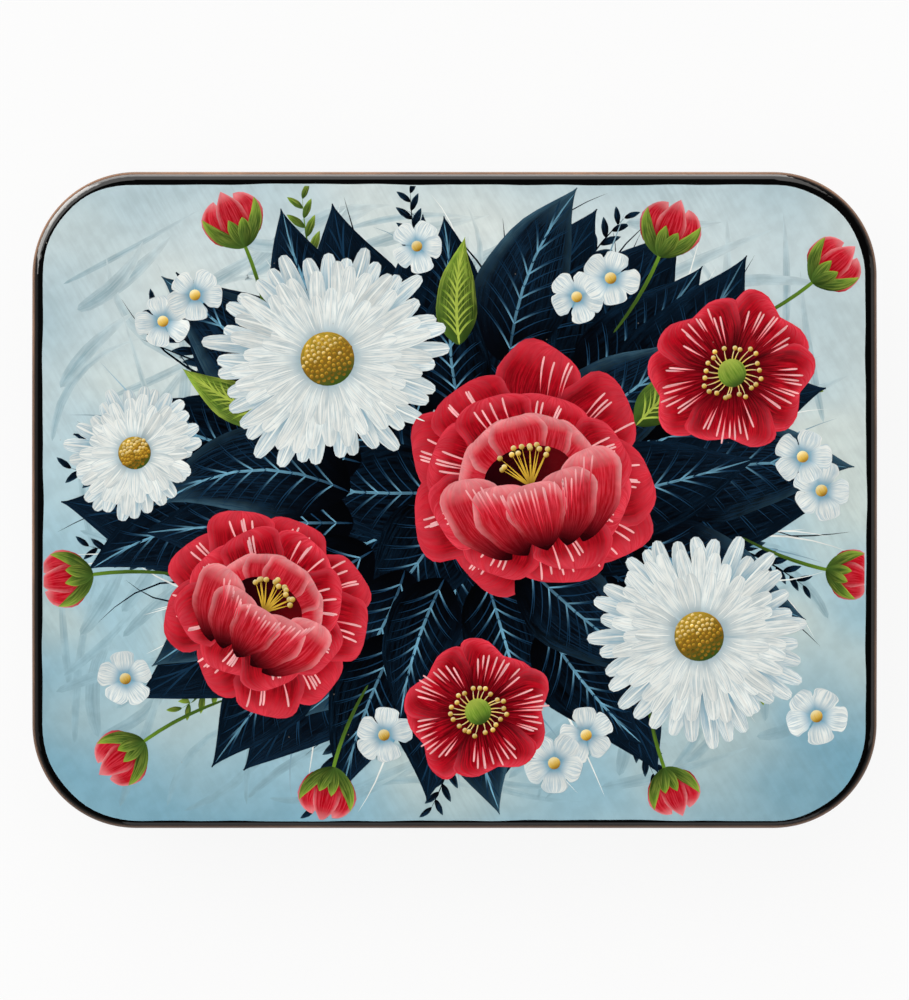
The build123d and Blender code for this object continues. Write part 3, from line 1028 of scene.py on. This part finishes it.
def paintSprigs():
    # a ring of sprigs, some of them green
    shortest, more = sprigs["length"]
    for k, angle in enumerate(evenTurns(sprigs["count"], sprigs["shift"])):
        looks = (tealLeaf, nightHair) if k % sprigs["greenEvery"] else (mossLeaf, mossHair)
        lean = angle + sprigs["sway"] * math.sin(sprigs["sways"] * angle)
        paintSprig(onBouquet(angle, sprigs["root"]), lean, shortest + more * rng.random(), *looks)


def paintBackLeaves():
    # broad dark leaves round the back of the bouquet, and a few in its heart
    form = backLeaves
    turns = evenTurns(form["count"], form["shift"])
    for angle in turns[paintOrder(len(turns), leafLaps)]:
        root, length = onBouquet(angle, form["root"]), form["length"] * shorten(angle, form["least"])
        lean = angle + form["scatter"] * rng.normal()
        paintLeaf(root, lean, length, form["width"] * length, darkLeaf, tealHair, tealHair, form["bow"])
    form = heartLeaves
    size = form["length"], form["width"]
    for angle in np.radians(form["angles"]):
        paintLeaf(form["root"], angle, *size, darkLeaf, veinHair, tealHair, form["bow"])


def paintFrontLeaves():
    # narrower leaves over the broad ones, every second one from deeper in, and small green ones last
    form = frontLeaves
    turns = evenTurns(form["count"], form["shift"])
    middling, spread = form["length"]
    for k in paintOrder(len(turns), leafLaps):
        root = onBouquet(turns[k], form["root"] - form["deeper"] * (k % 2))
        length = (middling + spread * rng.normal()) * shorten(turns[k], form["least"])
        lean, bow = turns[k] + form["scatter"] * rng.normal(), form["bow"] * rng.normal()
        look = darkLeaf if k % form["tealEvery"] else tealLeaf
        paintLeaf(root, lean, length, form["width"] * length, look, veinHair, tealHair, bow)
    form = greenLeaves
    for angle in evenTurns(form["count"], form["shift"]):
        root, lean = onBouquet(angle, form["root"]), angle + form["scatter"] * rng.normal()
        paintLeaf(root, lean, form["length"], form["width"], mossLeaf, limeHair, limeHair, form["bow"])


paintHaze(bouquet["hazes"])
paintSprigs()
paintGrasses(bouquet["grasses"])
paintBackLeaves()
paintFrontLeaves()
for bud in buds:
    paintBud(*bud)
for at in fillers:
    paintFiller(at, fillerSize[0] + fillerSize[1] * rng.random())
for paintFlower, flower in flowers:
    paintFlower(flower)
print("brush marks laid:", sum(len(mark["start"]) for mark in marks))


covering = {
    "cell": 0.12, "along": 1.5, "across": 3,  # mm; samples to a cell of a mark's length and half width
    "hides": 4, "sure": (0.06, 0.92),  # a mark with more columns hides what its surest part covers
    "tuck": 0.12, "fineStep": 0.3,  # first share of a mark that tucks under, and spread of fine strokes
}
cellsWide, cellsDeep = (int(2 * half / covering["cell"]) + 2 for half in (halfLength, halfDepth))


def markCells(mark, first, reach):
    # cells of a fine lattice under each mark of a group, from a first share of its length on, and out to a
    # share of its width
    cell, longest = covering["cell"], np.linalg.norm(mark["tip"] - mark["start"], axis=1).max()
    t = np.linspace(first, reach, 4 + int(covering["along"] * longest / cell))
    a = np.linspace(-reach, reach, 3 + int(covering["across"] * mark["width"].max() / cell))
    spots = ((markPoints(mark, t, a) + [halfLength, halfDepth]) / cell).astype(int)
    return (spots[..., 1] * cellsWide + spots[..., 0]).reshape(len(spots), -1)


def dropHidden():
    # from the last mark back to the first: a mark goes if later broad marks cover all of it
    covered = np.zeros(cellsWide * cellsDeep, bool)
    for mark in reversed(marks):
        whole, sure = markCells(mark, 0.0, 1.0), markCells(mark, *covering["sure"])
        seen = np.zeros(len(whole), bool)
        for k in reversed(range(len(whole))):
            seen[k] = not covered[whole[k]].all()
            if mark["shape"]["columns"] > covering["hides"]:
                covered[sure[k]] = True
        for key in ("start", "bend", "tip", "width", "phase", "value"):
            mark[key] = mark[key][seen]
    marks[:] = [mark for mark in marks if len(mark["start"])]


def layMarks():
    # height of each mark: one layer above the highest mark that it covers, in painting order; the fine
    # strokes of a group share one layer and differ by a hair
    built = np.zeros(cellsWide * cellsDeep)
    for mark in marks:
        index = markCells(mark, covering["tuck"], 1.0)
        mark["level"] = np.zeros(len(index))
        if mark["shape"]["columns"] == stroke["fineColumns"]:
            count = len(index)
            mark["level"] = built[index].max() + 1 + covering["fineStep"] * np.arange(count) / count
            built[index] = mark["level"].max()
            continue
        for k, under in enumerate(index):
            mark["level"][k] = level = built[under].max() + 1
            built[under] = level
    return round(built.max(), 1)


# paint that lets the ground through, and where a mark lies on the streak pattern and on the bake map

thinPaint = {"edge": 0.5, "end": 0.8, "endRun": (0.4, 1.0), "paint": 0.8, "streak": 0.45}
mapForm = {"seedSpan": 97, "seedTurn": 1.7, "margin": 0.08}


def pairUp(u, v):
    # the two coordinates of each point of a grid, point after point
    return np.stack(np.broadcast_arrays(u, v), -1).reshape(-1, 2)


def markGrid(shape):
    # stations along a mark, closer at its ends, columns across it, and the corners of its faces
    stations, columns = shape["stations"], shape["columns"]
    t = (1 - np.cos(math.pi * np.arange(stations) / (stations - 1))) / 2
    corner = (np.arange(stations - 1)[:, None] * columns + np.arange(columns - 1)).ravel()
    quads = np.stack([corner, corner + columns, corner + columns + 1, corner + 1], -1)
    return t, np.linspace(-1, 1, columns), quads


def gatherMarks(name):
    # grid of stations along and columns across for each mark of a layer, put end to end
    chosen = [mark for mark in marks if mark["piece"] == name]
    side = math.ceil(math.sqrt(sum(len(mark["start"]) for mark in chosen)))  # squares in a row of the map
    rows = {key: [] for key in ("points", "faces", "paint", "streak", "brush", "OFBake")}
    done = first = 0
    for mark in chosen:
        t, a, quads = markGrid(mark["shape"])
        flat = markPoints(mark, t, a)
        count, size = len(flat), len(t) * len(a)
        level, width, phase = (mark[key][:, None, None] for key in ("level", "width", "phase"))
        z = archHeight(flat[..., 1]) + picture["markLift"] + picture["layer"] * level
        rows["points"].append(np.concatenate([flat, z[..., None]], -1).reshape(-1, 3) * mm)
        rows["faces"].append((first + np.arange(count)[:, None, None] * size + quads).reshape(-1, 4))
        tone, second = markColors(mark, t, a)
        t, a = t[None, :, None], a[None, None, :]
        if mark["look"]["fade"]:
            own = groundTone(flat[..., 0], flat[..., 1])
            thin = 1 - thinPaint["end"] * smooth(t, *thinPaint["endRun"])
            thin = ((1 - thinPaint["edge"] * np.abs(a)) * thin)[..., None]
            tone = mix(own, tone, thin * thinPaint["paint"])
            second = mix(own, second, thin * thinPaint["streak"])
        rows["paint"].append(tone.reshape(-1, 3))
        rows["streak"].append(second.reshape(-1, 3))
        length = np.linalg.norm(mark["tip"] - mark["start"], axis=1)[:, None, None]
        seed = phase * mapForm["seedSpan"]
        rows["brush"].append(pairUp(seed + a * width, seed * mapForm["seedTurn"] + t * length))
        row, column = (part[:, None, None] for part in np.divmod(done + np.arange(count), side))
        inner = 1 - 2 * mapForm["margin"]
        u = (column + mapForm["margin"] + inner * (a + 1) / 2) / side
        v = (row + mapForm["margin"] + inner * t) / side
        rows["OFBake"].append(pairUp(u, v))
        first += count * size
        done += count
    return {key: np.concatenate(values) for key, values in rows.items()}


def buildMarks(name, look):
    # one mesh of a layer's marks, all faces up; faces that the picture's edge has pressed flat are left out
    rows = gatherMarks(name)
    points, faces = rows.pop("points"), rows.pop("faces")
    a, b, c, d = (points[faces[:, k]] for k in range(4))
    area = (np.cross(b - a, c - a) + np.cross(c - a, d - a))[:, 2] / 2 / mm ** 2
    faces[area < 0] = faces[area < 0][:, ::-1]
    kept, faces = np.unique(faces[np.abs(area) > picture["leastFace"]], return_inverse=True)
    faces = faces.reshape(-1, 4).tolist()
    colors = {key: rows[key][kept] for key in ("paint", "streak")}
    flatMaps = {key: rows[key][kept] for key in ("brush", "OFBake")}
    newLayer(name, points[kept], faces, look, colors, flatMaps)
    return len(faces)


layerLooks = {
    "picture_grasses": {"lines": 5.0, "length": 0.25, "load": 0.08},
    "picture_sprigs": {"lines": 6.0, "length": 0.35, "load": 0.12},
    "picture_leaves": {"lines": 5.5, "length": 0.35, "load": 0.16},
    "picture_leaves_fine": {"lines": 8.0, "length": 0.5, "load": 0.12},
    "picture_white_flowers": {"lines": 7.0, "length": 0.35, "load": 0.06},
    "picture_white_flowers_fine": {"lines": 8.0, "length": 0.5, "load": 0.05},
    "picture_red_flowers": {"lines": 5.0, "length": 0.3, "load": 0.12},
    "picture_red_flowers_fine": {"lines": 8.0, "length": 0.5, "load": 0.08},
}
dropHidden()
print("marks in sight:", sum(len(mark["start"]) for mark in marks), "in layers:", layMarks())
for name, look in layerLooks.items():
    print(name, buildMarks(name, look), "faces")


# studio: white floor, soft panels behind the box and overhead, and weak ones on the other sides

studio = {
    "floorHalf": 4.0, "floorTone": (0.86, 0.86, 0.855), "floorRoughness": 0.9,
    "seenWhite": 0.9, "glossShare": 0.6, "glossTone": 0.3,
    "skyLight": (0.05, 0.75, 0.42, 0.02), "skyGloss": (0.05, 0.55, 0.3, 0.0),  # low, high, and levels there
    "cameraDistance": 0.45, "pixelsPerMm": 9.378, "imageHeight": 1000, "sensor": 36.0, "outlineDrop": 1.5,
}
softLights = {
    "top light": {"at": (-0.12, 0.16, 0.75), "size": (0.70, 0.70), "glow": 3.6, "color": (1.0, 0.99, 0.975)},
    "rim light": {"at": (-0.20, 0.50, 0.18), "size": (0.80, 0.32), "glow": 6.4, "color": (1.0, 0.975, 0.95)},
    "brow light": {"at": (-0.12, 0.39, 0.50), "size": (0.80, 0.36), "glow": 2.2, "color": (1.0, 0.97, 0.94)},
    "corner light": {"at": (-0.4, 0.32, 0.24), "size": (0.44, 0.46), "glow": 8.4, "color": (1.0, 0.98, 0.95)},
    "left light": {"at": (-0.6, -0.02, 0.42), "size": (0.40, 0.40), "glow": 0.3, "color": (1.0, 0.97, 0.94)},
    "right light": {"at": (0.60, 0.0, 0.40), "size": (0.40, 0.40), "glow": 0.8, "color": (1.0, 0.96, 0.91)},
    "front light": {"at": (0.1, -0.62, 0.40), "size": (0.50, 0.35), "glow": 0.8, "color": (1.0, 1.0, 1.0)},
}
edgeLights = ("rim light", "brow light", "corner light")


def seenAndMirrored(tree):
    # whether a ray comes straight from the camera, and whether it comes by gloss or glass
    ray = addNode(tree, "ShaderNodeLightPath").outputs
    return ray["Is Camera Ray"], calc(tree, "MAXIMUM", ray["Is Glossy Ray"], ray["Is Transmission Ray"])


def makeFloor():
    # white to the eye with a tenth of its lit tone left in, so that the shadow shows; dim grey in gloss
    half = studio["floorHalf"]
    corners = [(-half, -half, 0.0), (half, -half, 0.0), (half, half, 0.0), (-half, half, 0.0)]
    mesh = bpy.data.meshes.new("floor")
    mesh.from_pydata(corners, [], [(0, 1, 2, 3)])
    floor = bpy.data.objects.new("floor", mesh)
    scene.collection.objects.link(floor)
    material, tree, shader = startMaterial("floor")
    shader.inputs["Base Color"].default_value = (*studio["floorTone"], 1.0)
    shader.inputs["Roughness"].default_value = studio["floorRoughness"]
    shader.inputs["Specular IOR Level"].default_value = 0.0
    seen, mirrored = seenAndMirrored(tree)
    share = calc(tree, "MAXIMUM", calc(tree, "MULTIPLY", seen, studio["seenWhite"]),
                 calc(tree, "MULTIPLY", mirrored, studio["glossShare"]))
    level = calc(tree, "MULTIPLY_ADD", mirrored, studio["glossTone"] - 1.0, 1.0)
    white = addNode(tree, "ShaderNodeEmission", links={"Strength": level})
    both = addNode(tree, "ShaderNodeMixShader", links={0: share, 1: shader.outputs[0], 2: white.outputs[0]})
    tree.links.new(both.outputs[0], tree.nodes["Material Output"].inputs["Surface"])
    mesh.materials.append(material)


def makeWorld():
    # white to the eye; as light, pale round the horizon and dark overhead, so that the lid keeps its depth
    world = bpy.data.worlds.new("studio")
    world.use_nodes = True
    scene.world = world
    tree = world.node_tree
    shader = tree.nodes["Background"]
    direction = addNode(tree, "ShaderNodeTexCoord").outputs["Generated"]
    up = addNode(tree, "ShaderNodeSeparateXYZ", links={0: direction}).outputs["Z"]
    seen, mirrored = seenAndMirrored(tree)
    bright = calc(tree, "MULTIPLY", mirrored, ramp(tree, up, *studio["skyGloss"]))
    level = calc(tree, "MAXIMUM", calc(tree, "MAXIMUM", ramp(tree, up, *studio["skyLight"]), bright), seen)
    tree.links.new(level, shader.inputs["Strength"])
    shader.inputs["Color"].default_value = (1.0, 1.0, 1.0, 1.0)


def makeLights():
    # rectangular panels, all turned to the lid
    aim = Vector((0.0, 0.0, lidHigh.z))
    lamps = {}
    for name, look in softLights.items():
        data = bpy.data.lights.new(name, "AREA")
        data.shape = "RECTANGLE"
        data.size, data.size_y = look["size"]
        data.energy = math.pi * look["size"][0] * look["size"][1] * look["glow"]  # power of an even panel
        data.color = look["color"]
        lamps[name] = lamp = bpy.data.objects.new(name, data)
        lamp.location = look["at"]
        lamp.rotation_euler = (aim - lamp.location).to_track_quat("-Z", "Y").to_euler()
        scene.collection.objects.link(lamp)
    lamps["top light"].visible_glossy = False  # no glare on the lid from overhead
    lamps["corner light"].visible_diffuse = False  # it only draws a line on the gloss
    shield = bpy.data.collections.new("shield")  # what the lights on the lid's upper edge leave out
    for piece in [*pictureLayers, bpy.data.objects["floor"], nodes["body_band"], nodes["lid_band"]]:
        shield.objects.link(piece)
    for entry in shield.collection_objects:
        entry.light_linking.link_state = "EXCLUDE"
    for name in edgeLights:
        lamps[name].light_linking.receiver_collection = shield


def makeCamera():
    # straight above the lid; the lens gives the photographed scale at the height of the lid's outline
    data = bpy.data.cameras.new("camera")
    field = studio["imageHeight"] / studio["pixelsPerMm"] * mm
    data.sensor_width = studio["sensor"]
    data.lens = studio["sensor"] * studio["cameraDistance"] / field
    camera = bpy.data.objects.new("camera", data)
    camera.location = (0.0, 0.0, lidHigh.z - studio["outlineDrop"] * mm + studio["cameraDistance"])
    scene.collection.objects.link(camera)
    scene.camera = camera


makeFloor()
makeWorld()
makeLights()
makeCamera()
scene.view_settings.view_transform = "Standard"
print("studio ready")
